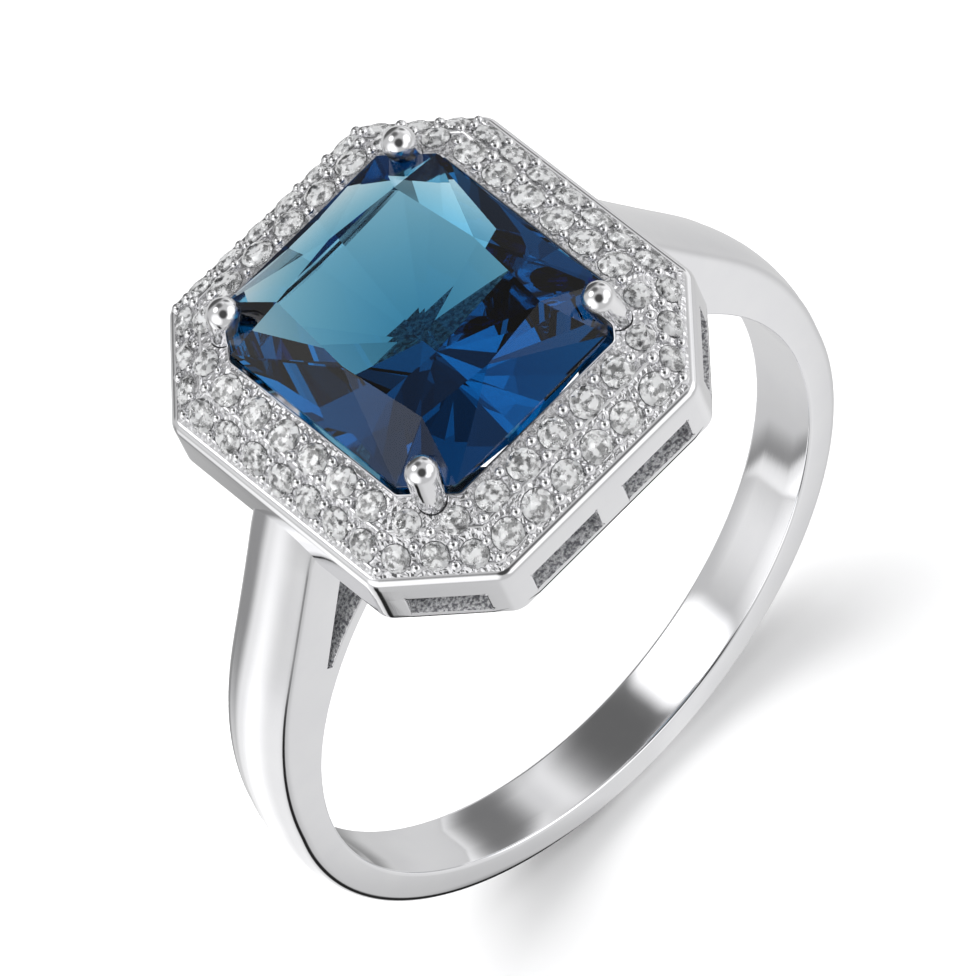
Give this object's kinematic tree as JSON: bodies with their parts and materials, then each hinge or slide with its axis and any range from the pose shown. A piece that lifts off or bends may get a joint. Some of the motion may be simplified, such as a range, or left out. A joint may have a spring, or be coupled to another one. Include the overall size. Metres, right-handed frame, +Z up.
{
  "type": "cocktail ring",
  "caption": "Cocktail ring: cut-corner blue stone in four beaded prongs, pave octagonal halo over a windowed gallery, split shoulders and a domed finger hoop",
  "frame": {"origin": "centre of the finger hole", "axes": "X across the hoop, Y along the finger, Z up from the finger hole through the centre stone"},
  "size_m": [0.0196, 0.0128, 0.0241],
  "materials": {
    "polished_silver": "rhodium-plated silver, mirror polished",
    "textured_silver": "rhodium-plated silver, bead-set and cast grained",
    "blue_stone": "faceted, polished, deep blue",
    "white_stone": "faceted, polished, colourless"
  },
  "bodies": {
    "root": {"basket_lower_rail": "polished_silver", "basket_upper_rail": "polished_silver", "centre_stone": "blue_stone", "gallery_frame": "polished_silver", "halo_plate": "textured_silver", "inner_stones_back": "white_stone", "inner_stones_back_left": "white_stone", "inner_stones_back_right": "white_stone", "inner_stones_front": "white_stone", "inner_stones_front_left": "white_stone", "inner_stones_front_right": "white_stone", "inner_stones_left": "white_stone", "inner_stones_right": "white_stone", "left_shoulder": "polished_silver", "outer_stones_back": "white_stone", "outer_stones_back_left": "white_stone", "outer_stones_back_right": "white_stone", "outer_stones_front": "white_stone", "outer_stones_front_left": "white_stone", "outer_stones_front_right": "white_stone", "outer_stones_left": "white_stone", "outer_stones_right": "white_stone", "prong_back_left": "polished_silver", "prong_back_right": "polished_silver", "prong_front_left": "polished_silver", "prong_front_right": "polished_silver", "right_shoulder": "polished_silver", "shank": "polished_silver"}
  },
  "joints": []
}
